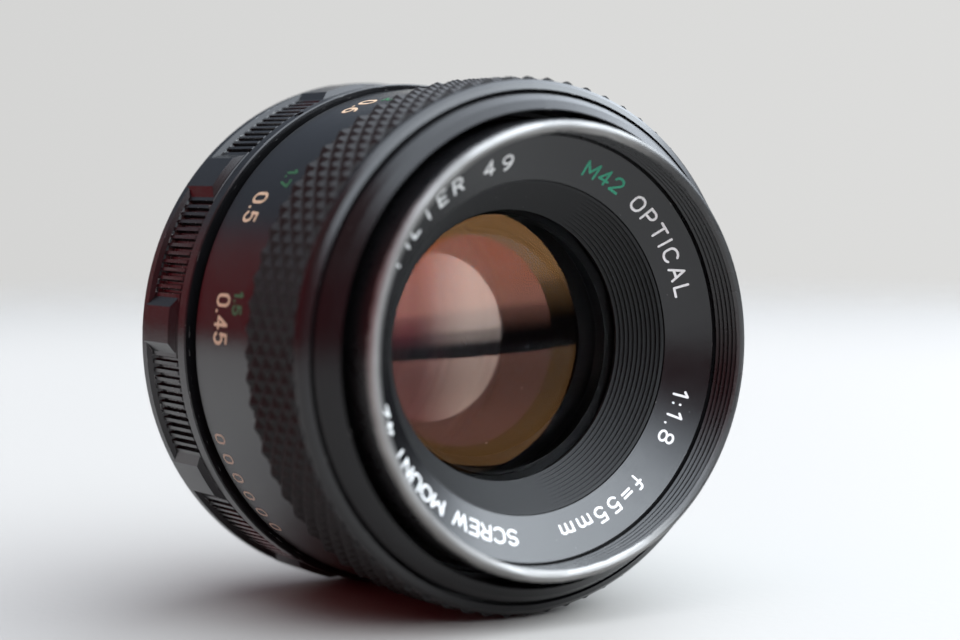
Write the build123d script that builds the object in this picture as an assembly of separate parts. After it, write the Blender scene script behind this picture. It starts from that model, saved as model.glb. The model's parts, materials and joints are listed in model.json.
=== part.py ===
from build123d import *
import math
import os

# A 55 mm f/1.8 prime lens with a 42 mm screw mount and a 49 mm filter thread. Millimetres.
#
# The lens lies on its side. The origin is the centre of the mount's flange face, +Y runs along the
# optical axis towards the camera and +Z is up. Turned pieces are drawn as (radius, depth) outlines,
# with depth measured along the axis from the front rim. Clock angles are degrees from straight up,
# clockwise as seen from the front. place() stands this axial model in the lens's own frame.

# ---- driving dimensions -------------------------------------------------------------------------
LENGTH = 44.8                 # front rim to flange face, focused at infinity
INDEX = 108.6                 # clock angle of the red index mark
FIT = 0.05                    # radial clearance of every running fit

FILTER_MAJOR, FILTER_MINOR, FILTER_PITCH = 24.5, 24.1, 0.75     # M49 x 0.75, radii
FILTER_FRONT, FILTER_TURNS = 0.35, 5
MOUNT_MAJOR, MOUNT_MINOR, MOUNT_PITCH = 21.0, 20.4, 1.0         # M42 x 1, radii
MOUNT_THREAD_LENGTH = 4.5

FRONT_BARREL = 25.5           # outer radius of the filter ring
NAME_RING_OUTER = 23.78
FOCUS_BAND = 29.6             # radius of the distance scale
GRIP_TOP = 30.45              # over the rubber grip
APERTURE_RING = 30.2          # over the fine teeth
BLOCK_TOP = 30.8              # over the finger blocks
REAR_RIM = 30.7               # over the aperture ring's rear rim

BLOCK_PITCH = 36.0            # degrees between finger blocks
BLOCK_CLOCK = -50.1           # clock angle of one finger block
TOOTH_PITCH = 1.9             # degrees between the fine grooves
TEETH = 12                    # grooves between two finger blocks
NUMBER_LAND = (INDEX - 67, INDEX + 17)       # smooth stretch that carries the f-numbers

FOCUS_TURN = 192.0            # degrees from infinity to 0.45 m
FOCUS_TRAVEL = 9.15           # how far the front group comes forward over that turn
APERTURE_TURN = 50.0          # degrees from f/1.8 to f/16
BLADE_SWING = 29.4            # degrees each blade turns over that
PIN_TRAVEL = 2.2              # stroke of the automatic aperture pin

# ---- shared radii and stations (depth behind the front rim) -------------------------------------
HELICOID = 26.0               # male helicoid, in the front group
HELICOID_REAR = 31.0
KEY_GRIP = 4.6                # how much of a key stays in its slot at 0.45 m
HELICOID_SLEEVE = 27.2        # outside of the rotating female helicoid
COLLAR_INNER, COLLAR_OUTER = 27.25, 28.2
REAR_TUBE = 27.55             # the fixed tube that the aperture ring turns on
BAND_END = 31.7               # rear edge of the distance scale
FLANGE_FRONT, FLANGE_REAR = 33.0, 34.9
SHELF_FRONT, SHELF_REAR = 40.2, 42.0
BARREL_REAR = 43.7

KEY_CLOCK = (INDEX + 60, INDEX + 240)
KEY_HALF = 5.5                # half the angle that a guide key spans
KEY_TIP = HELICOID_REAR - FOCUS_TRAVEL - KEY_GRIP
LEVER_CLOCK = 40.0            # the aperture lever at f/1.8
STOP_CLOCK = 250.0            # the focus stop screw at infinity
PIN_CLOCK, PIN_ORBIT = INDEX + 180, 17.6
PIN_FRONT = 38.6              # front end of the aperture pin at rest
BALL_CLOCK = 180.0
SET_SCREW_CLOCK = (-29.0, 91.0, 211.0)

IRIS_REST = 30.95             # depth of the plate that the blades lie on
FULL_OPENING = 9.6            # radius of the iris at f/1.8
BLADES = 6
PIVOT_ORBIT = 17.0
BLADE_INNER, BLADE_OUTER = FULL_OPENING + 0.1, 15.9
BLADE_THICK, BLADE_STEP = 0.12, 0.16
BLADE_ARC = 118.0             # clock angle from a blade's pivot to its round tip
TAIL, TAIL_ANGLE = 3.4, -100.0          # from pivot to drive pin
BLADE_PIN = 0.5
ACTUATOR_DEPTH = 32.65        # middle of the actuator ring
PIVOT_CLOCKS = [15 + 60 * number for number in range(BLADES)]

# Glass: front vertex depth, centre thickness, front and rear curvature (centre behind is plus).
FLAT = math.inf
L1 = (8.40, 4.85, 31.0, 84.0)
L2 = (13.55, 6.90, 20.8, FLAT)
L3 = (20.45, 2.10, FLAT, 13.4)
L4 = (39.20, 2.10, -15.7, FLAT)
L5 = (41.30, 6.10, FLAT, -21.0)
L6 = (47.70, 3.90, 98.0, -44.0)


# ---- helpers ------------------------------------------------------------------------------------
def turned(*points):
    """Solid of revolution from its closed (radius, depth) outline."""
    outline = Plane.XZ * make_face(Polyline(*points, close=True))
    return revolve(outline, Axis.Z)


def ring(inner, outer, front, rear):
    """Plain ring between two radii and two depths."""
    return turned((inner, front), (outer, front), (outer, rear), (inner, rear))


def sector(inner, outer, front, rear, start, end):
    """Part of a ring between two clock angles."""
    middle = math.radians((start + end) / 2)
    half = math.radians(end - start) / 2

    def at(radius, angle):
        return (radius * math.cos(angle), radius * math.sin(angle))

    outline = Curve() + [
        Line(at(inner, middle - half), at(outer, middle - half)),
        ThreePointArc(at(outer, middle - half), at(outer, middle), at(outer, middle + half)),
        Line(at(outer, middle + half), at(inner, middle + half)),
        ThreePointArc(at(inner, middle + half), at(inner, middle), at(inner, middle - half)),
    ]
    return Pos(0, 0, front) * extrude(make_face(outline), rear - front)


def clock(shape, angle):
    """Turn a shape from straight up to a clock angle."""
    return Rot(0, 0, angle) * shape


def axial_pin(radius, front, rear, orbit, angle):
    """Round pin along the optical axis, off centre."""
    pin = Pos(orbit, 0, (front + rear) / 2) * Cylinder(radius, rear - front)
    return clock(pin, angle)


def radial_pin(radius, inner, outer, depth, angle):
    """Round pin that points away from the optical axis."""
    pin = Pos((inner + outer) / 2, 0, depth) * Rot(0, 90, 0) * Cylinder(radius, outer - inner)
    return clock(pin, angle)


def slotted(radius, inner, outer, depth, angle):
    """Radial grub screw with a screwdriver slot in its outer end."""
    slot = Pos(outer, 0, depth) * Box(0.7, 2 * radius + 1, 0.32)
    return radial_pin(radius, inner, outer, depth, angle) - clock(slot, angle)


def countersunk(shank, head, tip, face, orbit, angle):
    """Axial screw whose slotted flat head is flush with the face towards the camera."""
    cone = head - shank
    body = turned((0, tip), (shank, tip), (shank, face - cone - 0.15), (head, face - 0.15),
                  (head, face), (0, face))
    body -= Pos(0, 0, face) * Box(2 * head + 1, 0.35, 0.7)
    return clock(Pos(orbit, 0, 0) * body, angle)


def countersink(shank, head, tip, face, orbit, angle):
    """The hole that a countersunk screw sits in."""
    gap = 0.03
    cone = head - shank
    hole = turned((0, tip - gap), (shank + gap, tip - gap), (shank + gap, face - cone - 0.15 - gap),
                  (head + gap, face - 0.15 - gap), (head + gap, face + 1), (0, face + 1))
    return clock(Pos(orbit, 0, 0) * hole, angle)


def thread_profile(crest, root, pitch, first, count):
    """Outline points of a run of V grooves, as a thread shows them."""
    points = []
    for turn in range(count):
        start = first + turn * pitch
        points += [(crest, start + 0.12 * pitch), (root, start + 0.5 * pitch), (crest, start + 0.88 * pitch)]
    return points


def coil(radius, wire, front, rear, turns):
    """Compression spring along the axis of its own frame."""
    path = Helix((rear - front - 2 * wire) / turns, rear - front - 2 * wire, radius)
    section = Plane(origin=path @ 0, z_dir=path % 0) * Circle(wire)
    return Pos(0, 0, front + wire) * sweep(section, path)


def sag(curvature, height):
    """Depth of a spherical surface behind its vertex at a height, plus when the centre is behind."""
    if math.isinf(curvature):
        return 0.0
    depth = abs(curvature) - math.sqrt(curvature ** 2 - height ** 2)
    return math.copysign(depth, curvature)


def surface(vertex, curvature, clear, rim):
    """Half outline of one optical surface from the axis to the rim, flat outside its clear height."""
    edge = vertex + sag(curvature, clear)
    if math.isinf(curvature):
        lines = [Line((0, vertex), (clear, edge))]
    else:
        middle = (clear / 2, vertex + sag(curvature, clear / 2))
        lines = [ThreePointArc((0, vertex), middle, (clear, edge))]
    if rim > clear:
        lines.append(Line((clear, edge), (rim, edge)))
    return lines, edge


def element(glass, rim, front_clear=None, rear_clear=None):
    """A lens element from its vertex, thickness and two curvatures."""
    vertex, thickness, front, rear = glass
    front_lines, front_edge = surface(vertex, front, front_clear or rim, rim)
    rear_lines, rear_edge = surface(vertex + thickness, rear, rear_clear or rim, rim)
    edge = Line((rim, front_edge), (rim, rear_edge))
    axis = Line((0, vertex), (0, vertex + thickness))
    outline = Plane.XZ * make_face(Curve() + front_lines + rear_lines + [edge, axis])
    return revolve(outline, Axis.Z)


def place(shape):
    """Move an axial shape into the lens's frame."""
    frame = Plane(origin=(0, -LENGTH, 0), x_dir=(0, 0, 1), z_dir=(0, 1, 0))
    return frame.location * shape


def save(name, shapes):
    """Write one node, which may be a group of separate solids."""
    if isinstance(shapes, list):
        shapes = Compound([solid for shape in shapes for solid in shape.solids()])
    export_step(place(shapes), f"parts/{name}.step")


# ---- front group: rings -------------------------------------------------------------------------
def filter_ring():
    """Front rim with the filter thread, screwed over the helicoid's nose."""
    threads = thread_profile(FILTER_MINOR, FILTER_MAJOR, FILTER_PITCH, FILTER_FRONT, FILTER_TURNS)
    relief_front = FILTER_FRONT + FILTER_TURNS * FILTER_PITCH
    relief_rear = relief_front + 0.22
    seat = NAME_RING_OUTER + FIT
    return turned((FILTER_MINOR, FILTER_FRONT), (24.4, 0.12), (24.7, 0), (24.95, 0.04), (25.28, 0.34),
                  (FRONT_BARREL, 0.9), (FRONT_BARREL, 13.9), (24.55, 13.9), (24.55, 7.6),
                  (23.1, 7.6), (23.1, 5.75), (seat, 5.75), (seat, relief_rear),
                  (FILTER_MAJOR, relief_rear), (FILTER_MAJOR, relief_front + 0.02),
                  (FILTER_MINOR, relief_front), *reversed(threads))


def name_ring():
    """Conical ring that carries the lens's data."""
    return turned((NAME_RING_OUTER, 4.36), (18.87, 7.02), (18.87, 7.95), (NAME_RING_OUTER, 5.25))


def front_baffle():
    """Ribbed cone that keeps stray light off the front glass."""
    ribs = 10
    ridges = []
    for rib in range(ribs):
        radius = 18.45 - 0.295 * rib
        depth = 7.32 + 0.468 * rib
        ridges += [(radius, depth), (radius + 0.1, depth + 0.34)]
    return turned((18.8, 7.2), *ridges, (15.5, 12.0), (19.55, 12.0), (19.55, 8.1), (18.8, 8.1))


def front_lens_retainer():
    """Slotted ring that clamps the front glass."""
    body = turned((15.6, 12.12), (17.4, 12.12), (17.4, 13.1), (16.7, 13.1), (15.6, 12.5))
    for angle in (0, 180):
        body -= clock(Pos(16.9, 0, 12.1) * Box(1.2, 1.0, 0.6), angle)
    return body


def inner_helicoid():
    """Sliding tube with the male helicoid and two key slots."""
    grooves = thread_profile(HELICOID, HELICOID - 0.6, 2.0, 15.2, 7)
    body = turned((23.7, 8.0), (24.5, 8.0), (24.5, 14.1), (HELICOID, 14.1), *grooves,
                  (HELICOID, HELICOID_REAR), (24.6, HELICOID_REAR), (24.6, 15.6), (23.7, 15.6))
    half = KEY_HALF + 0.12
    for angle in KEY_CLOCK:
        body -= sector(24.4, HELICOID + 0.2, KEY_TIP - 0.6, HELICOID_REAR + 0.1, angle - half, angle + half)
    return body


def optical_barrel():
    """Turned housing that holds the front cell, the iris and the rear cell."""
    body = turned((19.6, 8.5), (23.65, 8.5), (23.65, 15.8), (20.4, 15.8), (20.4, 18.5), (19.0, 18.5),
                  (19.0, 28.6), (22.8, 28.6), (22.8, 35.1), (21.6, 35.1), (21.6, 29.95),
                  (17.55, 29.95), (17.55, 17.1), (19.6, 17.1))
    start, end = LEVER_CLOCK - 2.2, LEVER_CLOCK + APERTURE_TURN + 2.2
    return body - sector(21.4, 23.0, ACTUATOR_DEPTH - 0.65, ACTUATOR_DEPTH + 0.65, start, end)


def front_cell():
    """Mount of the three elements ahead of the iris."""
    return turned((17.45, 12.12), (19.5, 12.12), (19.5, 17.0), (17.5, 17.0), (17.5, 27.6),
                  (13.45, 27.6), (13.45, 20.5), (14.3, 20.5), (14.3, 15.0), (16.85, 15.0),
                  (16.85, 13.2), (17.45, 13.2))


def front_spacer():
    """Ring that spaces the front glass from the cemented pair."""
    return ring(13.8, 14.25, 14.6, 18.7)


def rear_cell():
    """Mount of the three elements behind the iris, closing the iris chamber."""
    return turned((10.6, 34.2), (21.5, 34.2), (21.5, 35.1), (14.9, 35.1), (14.9, 51.7), (14.6, 52.0),
                  (14.25, 52.0), (13.95, 51.7), (13.95, 49.9), (13.25, 49.9), (13.25, 48.45),
                  (12.95, 48.45), (12.95, 41.25), (11.85, 41.25), (11.85, 35.4), (10.6, 35.4))


def rear_spacer():
    """Ring that spaces the rear cemented pair from the last element."""
    return ring(12.4, 12.9, 43.5, 48.35)


def rear_lens_retainer():
    """Slotted ring that clamps the rear glass."""
    body = turned((12.3, 50.3), (12.6, 49.95), (13.9, 49.95), (13.9, 51.2), (12.9, 51.2))
    for angle in (90, 270):
        body -= clock(Pos(13.5, 0, 51.2) * Box(1.4, 1.0, 0.7), angle)
    return body


# ---- iris ---------------------------------------------------------------------------------------
def polar(radius, angle):
    """Flat point at a radius and clock angle in degrees."""
    turn = math.radians(angle)
    return (radius * math.cos(turn), radius * math.sin(turn))


def drive_point(swing):
    """Where the drive pin of the blade at clock 0 is, once the blade has swung."""
    tail_x, tail_y = polar(TAIL, TAIL_ANGLE + swing)
    return (PIVOT_ORBIT + tail_x, tail_y)


def iris_housing():
    """Front plate of the iris with the six pivot holes."""
    body = ring(FULL_OPENING, 21.5, 30.0, IRIS_REST)
    for angle in PIVOT_CLOCKS:
        body -= axial_pin(BLADE_PIN + FIT, 29.8, 31.1, PIVOT_ORBIT, angle)
    return body


def iris_blade(number):
    """Crescent leaf with its pivot pin in front and its drive pin behind."""
    front = IRIS_REST + 0.07 + number * BLADE_STEP
    rear = front + BLADE_THICK
    leaf = sector(BLADE_INNER, BLADE_OUTER, front, rear, 2, BLADE_ARC)
    rounding = (BLADE_OUTER - BLADE_INNER) / 2
    tip_x, tip_y = polar((BLADE_OUTER + BLADE_INNER) / 2, BLADE_ARC)
    leaf += Pos(tip_x, tip_y, (front + rear) / 2) * Cylinder(rounding, BLADE_THICK)
    drive = drive_point(0)
    for end in (drive, polar(BLADE_OUTER - 2.5, 5)):
        leaf += Pos(0, 0, front) * extrude(bar_outline((PIVOT_ORBIT, 0), end, 1.05), BLADE_THICK)
    pivot = axial_pin(BLADE_PIN, 30.1, rear, PIVOT_ORBIT, 0)
    pin_end = ACTUATOR_DEPTH + 0.4
    pusher = Pos(drive[0], drive[1], (front + pin_end) / 2) * Cylinder(BLADE_PIN, pin_end - front)
    return clock(leaf + pivot + pusher, PIVOT_CLOCKS[number])


def bar_outline(start, end, width):
    """Round-ended flat bar between two points."""
    length = math.dist(start, end)
    angle = math.degrees(math.atan2(end[1] - start[1], end[0] - start[0]))
    middle = ((start[0] + end[0]) / 2, (start[1] + end[1]) / 2)
    return Pos(*middle) * Rot(0, 0, angle) * SlotCenterToCenter(length, 2 * width)


def drive_slot():
    """Spiral slot that one drive pin follows in the actuator ring."""
    steps = 14
    path = []
    for step in range(steps + 1):
        share = step / steps
        x, y = drive_point(BLADE_SWING * share)
        turn = math.radians(-APERTURE_TURN * share)
        path.append((x * math.cos(turn) - y * math.sin(turn), x * math.sin(turn) + y * math.cos(turn)))
    links = [bar_outline(start, end, BLADE_PIN + FIT) for start, end in zip(path, path[1:])]
    return extrude(Sketch() + links, 2)


def iris_actuator():
    """Ring with six spiral slots that swings the blades."""
    body = ring(14.6, 21.52, ACTUATOR_DEPTH - 0.5, ACTUATOR_DEPTH + 0.5)
    for angle in PIVOT_CLOCKS:
        body -= clock(Pos(0, 0, ACTUATOR_DEPTH - 1) * drive_slot(), angle)
    return body - radial_pin(0.44, 20.0, 22.0, ACTUATOR_DEPTH, LEVER_CLOCK)


def actuator_pin():
    """Pin that ties the actuator ring to the aperture lever."""
    return radial_pin(0.42, 20.02, 24.1, ACTUATOR_DEPTH, LEVER_CLOCK)


def iris_retainer():
    """Ring that keeps the actuator in its chamber."""
    return ring(14.6, 21.5, 33.25, 34.1)


# ---- focus group --------------------------------------------------------------------------------
def focus_ring():
    """Distance ring: flared bezel, seat for the grip and scale band."""
    body = turned((28.8, 6.75), (28.95, 6.55), (29.6, 6.9), (30.0, 7.4), (30.1, 7.95), (29.62, 8.0),
                  (29.62, 18.5), (FOCUS_BAND, 18.6), (FOCUS_BAND, BAND_END - 0.2), (29.4, BAND_END),
                  (28.4, BAND_END), (COLLAR_OUTER + FIT, BAND_END - 0.15), (COLLAR_OUTER + FIT, 22.1),
                  (29.0, 22.1), (29.0, 8.4), (28.8, 8.2))
    for angle in (INDEX, INDEX + 120, INDEX + 240):
        body -= radial_pin(0.83, 28.5, 30.0, 13.0, angle)
    return body


def focus_grip():
    """Rubber sleeve around the focus ring."""
    return ring(29.65, GRIP_TOP, 8.05, 18.55)


def focus_collar():
    """Bevelled front collar inside the bezel."""
    return turned((26.55, 4.1), (26.7, 3.98), (27.7, 4.9), (28.35, 5.9), (28.6, 6.6), (28.6, 8.5),
                  (28.9, 8.5), (28.9, 11.4), (26.55, 11.4))


def helicoid_sleeve():
    """Rotating female helicoid that draws the front group in and out."""
    bore = HELICOID + FIT
    grooves = thread_profile(bore, bore + 0.55, 2.0, 13.0, 9)
    body = turned((bore, 11.5), (28.95, 11.5), (28.95, 20.4), (HELICOID_SLEEVE, 20.4),
                  (HELICOID_SLEEVE, 32.8), (bore, 32.8), *reversed(grooves))
    for angle in (INDEX, INDEX + 120, INDEX + 240):
        body -= radial_pin(0.83, 27.4, 29.2, 13.0, angle)
    return body - radial_pin(0.83, 25.0, 28.0, 27.1, STOP_CLOCK)


def focus_clamp_screws():
    """Three grub screws under the grip that lock the ring to the sleeve."""
    return [slotted(0.8, 27.5, 29.55, 13.0, angle) for angle in (INDEX, INDEX + 120, INDEX + 240)]


def focus_stop_screw():
    """Screw whose tip runs in the collar's arc slot and ends the turn."""
    return radial_pin(0.8, 26.2, 28.12, 27.1, STOP_CLOCK)


# ---- fixed group --------------------------------------------------------------------------------
def main_barrel():
    """Fixed barrel: collar for the focus ring, flange, rear tube and inner shelf."""
    body = turned((COLLAR_INNER, 20.6), (COLLAR_OUTER, 20.6), (COLLAR_OUTER, FLANGE_FRONT),
                  (29.65, FLANGE_FRONT), (29.65, FLANGE_REAR), (REAR_TUBE, FLANGE_REAR),
                  (REAR_TUBE, BARREL_REAR), (25.6, BARREL_REAR), (25.6, SHELF_REAR), (21.5, SHELF_REAR),
                  (21.5, SHELF_FRONT), (25.95, SHELF_FRONT), (25.95, 33.2), (COLLAR_INNER, 33.2))
    body -= sector(27.0, 28.4, 26.1, 28.1, STOP_CLOCK - 1.8, STOP_CLOCK + FOCUS_TURN + 1.8)
    body -= sector(25.7, 27.8, 36.0, 38.6, LEVER_CLOCK - 5.4, LEVER_CLOCK + APERTURE_TURN + 5.4)
    for angle in SET_SCREW_CLOCK:
        body -= radial_pin(0.78, 28.4, 30, 33.9, angle)
    for angle in KEY_CLOCK:
        body -= countersink(0.7, 1.1, 38.9, SHELF_REAR, 23.6, angle)
    for angle in (30, 150, 270):
        body -= axial_pin(0.63, 40.5, 42.1, 23.6, angle)
    for angle in (INDEX + 45, INDEX + 165, INDEX + 285):
        body -= axial_pin(0.73, 41.0, 43.8, 26.55, angle)
    return body - radial_pin(0.65, 22.5, 27.7, 41.1, BALL_CLOCK)


def index_ring():
    """Narrow fixed ring with the index and the depth of field marks."""
    body = turned((29.68, 33.02), (30.15, 33.02), (30.3, 33.17), (30.3, 34.72), (30.15, 34.87),
                  (29.68, 34.87))
    for angle in SET_SCREW_CLOCK:
        body -= radial_pin(0.62, 29.5, 30.5, 33.92, angle)
    return body


def index_ring_screws():
    """Three grub screws that hold the index ring."""
    return [slotted(0.58, 28.5, 30.02, 33.92, angle) for angle in SET_SCREW_CLOCK]


def focus_retaining_ring():
    """Ring on the collar's nose that keeps the focus ring on."""
    return ring(COLLAR_OUTER + 0.02, 28.9, 20.62, 22.0)


def guide_key(angle):
    """Key that stops the front group from turning, with a foot on the shelf."""
    key = sector(24.75, 25.9, KEY_TIP, SHELF_FRONT - 0.01, angle - KEY_HALF, angle + KEY_HALF)
    key += sector(22.2, 25.9, 38.2, SHELF_FRONT - 0.01, angle - KEY_HALF, angle + KEY_HALF)
    return key - countersink(0.7, 1.1, 38.9, SHELF_REAR, 23.6, angle)


def guide_keys():
    """The two keys, on opposite sides."""
    return [guide_key(angle) for angle in KEY_CLOCK]


def guide_key_screws():
    """One screw through the shelf into each key."""
    return [countersunk(0.7, 1.1, 38.95, SHELF_REAR - 0.02, 23.6, angle) for angle in KEY_CLOCK]


def mechanism_plate():
    """Rear plate that carries the aperture pin."""
    body = ring(15.2, 25.55, 42.02, 43.2)
    body -= axial_pin(1.0 + FIT, 41, 44, PIN_ORBIT, PIN_CLOCK)
    for angle in (30, 150, 270):
        body -= countersink(0.6, 1.0, 41.0, 43.2, 23.6, angle)
    return body


def mechanism_plate_screws():
    """Three screws that hold the mechanism plate to the shelf."""
    return [countersunk(0.6, 1.0, 40.6, 43.18, 23.6, angle) for angle in (30, 150, 270)]


def pin_housing():
    """Closed cup around the aperture pin's spring, open towards the plate."""
    floor = PIN_FRONT - PIN_TRAVEL - 0.1
    cup = turned((0, floor - 0.5), (2.05, floor - 0.5), (2.05, SHELF_REAR), (1.6, SHELF_REAR),
                 (1.6, floor), (0, floor))
    return clock(Pos(PIN_ORBIT, 0, 0) * cup, PIN_CLOCK)


def aperture_pin():
    """Pin that a camera body pushes in to stop the lens down."""
    tip = LENGTH + 5.9
    pin = turned((0, PIN_FRONT), (0.6, PIN_FRONT), (0.6, 41.0), (1.4, 41.0), (1.4, 41.8), (1.0, 41.8),
                 (1.0, tip - 0.5), (0.5, tip), (0, tip))
    return clock(Pos(PIN_ORBIT, 0, 0) * pin, PIN_CLOCK)


def pin_spring():
    """Return spring of the aperture pin."""
    return clock(Pos(PIN_ORBIT, 0, 0) * coil(1.1, 0.18, 36.32, 40.98, 6), PIN_CLOCK)


def click_ball():
    """Ball that drops into the aperture ring's detents."""
    return clock(Pos(REAR_TUBE + 0.03 - 0.6, 0, 41.1) * Sphere(0.6), BALL_CLOCK)


def click_spring():
    """Spring behind the click ball."""
    spring = Pos(22.52, 0, 41.1) * Rot(0, 90, 0) * coil(0.42, 0.1, 0, 3.84, 7)
    return clock(spring, BALL_CLOCK)


def mount_plate():
    """Flange and 42 mm mount thread."""
    flange = LENGTH
    threads = thread_profile(MOUNT_MAJOR, MOUNT_MINOR, MOUNT_PITCH, flange + 0.4, 4)
    body = turned((19.2, BARREL_REAR + 0.01), (28.4, BARREL_REAR + 0.01), (28.6, BARREL_REAR + 0.2),
                  (28.6, flange - 0.2), (28.4, flange), (MOUNT_MAJOR + 0.1, flange),
                  (MOUNT_MAJOR + 0.1, flange - 0.35), (MOUNT_MINOR, flange - 0.35),
                  (MOUNT_MINOR, flange + 0.2), (MOUNT_MAJOR, flange + 0.4), *threads,
                  (MOUNT_MAJOR, flange + 4.4), (20.8, flange + MOUNT_THREAD_LENGTH),
                  (19.2, flange + MOUNT_THREAD_LENGTH))
    for angle in (INDEX + 45, INDEX + 165, INDEX + 285):
        body -= countersink(0.7, 1.35, 41.0, flange, 26.55, angle)
    return body


def mount_screws():
    """Three screws that hold the mount plate."""
    angles = (INDEX + 45, INDEX + 165, INDEX + 285)
    return [countersunk(0.7, 1.35, 41.1, LENGTH - 0.02, 26.55, angle) for angle in angles]


def rear_baffle():
    """Dark plate inside the mount thread with a hole for the aperture pin."""
    body = ring(15.05, 19.17, LENGTH + 0.6, LENGTH + 1.3)
    return body - axial_pin(1.15, LENGTH, LENGTH + 2, PIN_ORBIT, PIN_CLOCK)


# ---- aperture ring ------------------------------------------------------------------------------
def finger_block(angle):
    """Smooth raised block with sloping sides and a front bevel, running into the rear rim."""
    foot, top = 6.7, 3.6
    low = APERTURE_RING - 0.15
    outline = Polyline(polar(low, -foot), polar(BLOCK_TOP + 0.1, -top), polar(BLOCK_TOP + 0.35, 0),
                       polar(BLOCK_TOP + 0.1, top), polar(low, foot), close=True)
    body = Pos(0, 0, 35.0) * extrude(make_face(outline), 8.4)
    envelope = turned((28.5, 35.0), (29.7, 35.0), (BLOCK_TOP, 36.3), (BLOCK_TOP, 42.5),
                      (29.9, 42.9), (28.5, 42.9))
    return clock(body & envelope, angle)


def tooth_angles():
    """Clock angles of the grooves between the finger blocks, outside the numbered land."""
    angles = []
    low, high = NUMBER_LAND
    for field in range(round(360 / BLOCK_PITCH)):
        middle = BLOCK_CLOCK + BLOCK_PITCH * (field + 0.5)
        for groove in range(TEETH):
            angle = middle + TOOTH_PITCH * (groove - (TEETH - 1) / 2)
            inside = (angle - low) % 360 < high - low
            if not inside:
                angles.append(angle)
    return angles


def grooves():
    """Fine finger grooves with rounded rear ends."""
    half, bottom = 0.12, 29.7
    wide = half + 0.47
    outline = make_face(Polyline((bottom, -half), (bottom, half), (31, wide), (31, -wide), close=True))
    groove = Pos(0, 0, 34.5) * extrude(outline, 10)
    reach = turned((28, 34.4), (31.4, 34.4), (31.4, 41.65), (30.3, 41.65), (29.98, 41.55), (29.78, 41.35),
                   (bottom, 41.05), (28, 41.05))
    groove = groove & reach
    return [clock(groove, angle) for angle in tooth_angles()]


def aperture_ring():
    """Ring with finger blocks, fine grooves, a raised rear rim, detents and a pocket for the lever."""
    bore = REAR_TUBE + FIT
    body = turned((bore, 35.0), (29.7, 35.0), (APERTURE_RING, 35.4), (APERTURE_RING, 41.7),
                  (REAR_RIM, 42.1), (REAR_RIM, 43.2), (30.3, 43.6), (bore, 43.6))
    body -= grooves()
    low, high = NUMBER_LAND
    for block in range(round(360 / BLOCK_PITCH)):
        angle = BLOCK_CLOCK + BLOCK_PITCH * block
        if (angle + 4 - low) % 360 > high - low + 8:
            body += finger_block(angle)
    stops = [0, 5, 10, 14, 18, 22, 26, 30, 34, 38, 42, 46, 50]
    detents = [axial_pin(0.6, 40.0, 42.2, bore - 0.35, BALL_CLOCK - stop) for stop in stops]
    body -= detents
    body -= sector(27.2, 28.75, 36.0, 38.6, LEVER_CLOCK - 5.1, LEVER_CLOCK + 5.1)
    for side in (-2.6, 2.6):
        body -= radial_pin(0.47, 28.5, 29.3, 37.3, LEVER_CLOCK + side)
    return body


def aperture_lever():
    """Forked lever from the aperture ring to the iris actuator's pin."""
    gap, tine = 1.14, 4.6
    fork_tip = ACTUATOR_DEPTH - FOCUS_TRAVEL - 0.9
    lever = sector(23.0, 28.68, 36.1, 38.5, LEVER_CLOCK - 5, LEVER_CLOCK + 5)
    for start, end in ((-tine, -gap), (gap, tine)):
        lever += sector(23.0, 24.3, fork_tip, 36.5, LEVER_CLOCK + start, LEVER_CLOCK + end)
    for side in (-2.6, 2.6):
        lever -= radial_pin(0.47, 24.9, 29.0, 37.3, LEVER_CLOCK + side)
        lever -= radial_pin(0.82, 22.5, 25.6, 37.3, LEVER_CLOCK + side)
    return lever


def aperture_lever_screws():
    """Two screws that fix the lever in the ring's pocket."""
    screws = []
    for side in (-2.6, 2.6):
        shank = radial_pin(0.44, 25.5, 29.2, 37.3, LEVER_CLOCK + side)
        head = radial_pin(0.78, 24.9, 25.55, 37.3, LEVER_CLOCK + side)
        screws.append(shank + head)
    return screws


# ---- build --------------------------------------------------------------------------------------
NODES = {
    "filter_ring": filter_ring,
    "name_ring": name_ring,
    "front_baffle": front_baffle,
    "front_lens_retainer": front_lens_retainer,
    "inner_helicoid": inner_helicoid,
    "optical_barrel": optical_barrel,
    "front_cell": front_cell,
    "front_spacer": front_spacer,
    "lens_1": lambda: element(L1, 16.8),
    "lens_2": lambda: element(L2, 14.2),
    "lens_3": lambda: element(L3, 13.4, rear_clear=10.6),
    "iris_housing": iris_housing,
    "iris_actuator": iris_actuator,
    "actuator_pin": actuator_pin,
    "iris_retainer": iris_retainer,
    "rear_cell": rear_cell,
    "lens_4": lambda: element(L4, 11.8, front_clear=10.2),
    "lens_5": lambda: element(L5, 12.9),
    "rear_spacer": rear_spacer,
    "lens_6": lambda: element(L6, 13.2),
    "rear_lens_retainer": rear_lens_retainer,
    "focus_ring": focus_ring,
    "focus_grip": focus_grip,
    "focus_collar": focus_collar,
    "helicoid_sleeve": helicoid_sleeve,
    "focus_clamp_screws": focus_clamp_screws,
    "focus_stop_screw": focus_stop_screw,
    "main_barrel": main_barrel,
    "index_ring": index_ring,
    "index_ring_screws": index_ring_screws,
    "focus_retaining_ring": focus_retaining_ring,
    "guide_keys": guide_keys,
    "guide_key_screws": guide_key_screws,
    "mechanism_plate": mechanism_plate,
    "mechanism_plate_screws": mechanism_plate_screws,
    "pin_housing": pin_housing,
    "aperture_pin": aperture_pin,
    "pin_spring": pin_spring,
    "click_ball": click_ball,
    "click_spring": click_spring,
    "mount_plate": mount_plate,
    "mount_screws": mount_screws,
    "rear_baffle": rear_baffle,
    "aperture_ring": aperture_ring,
    "aperture_lever": aperture_lever,
    "aperture_lever_screws": aperture_lever_screws,
}

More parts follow.
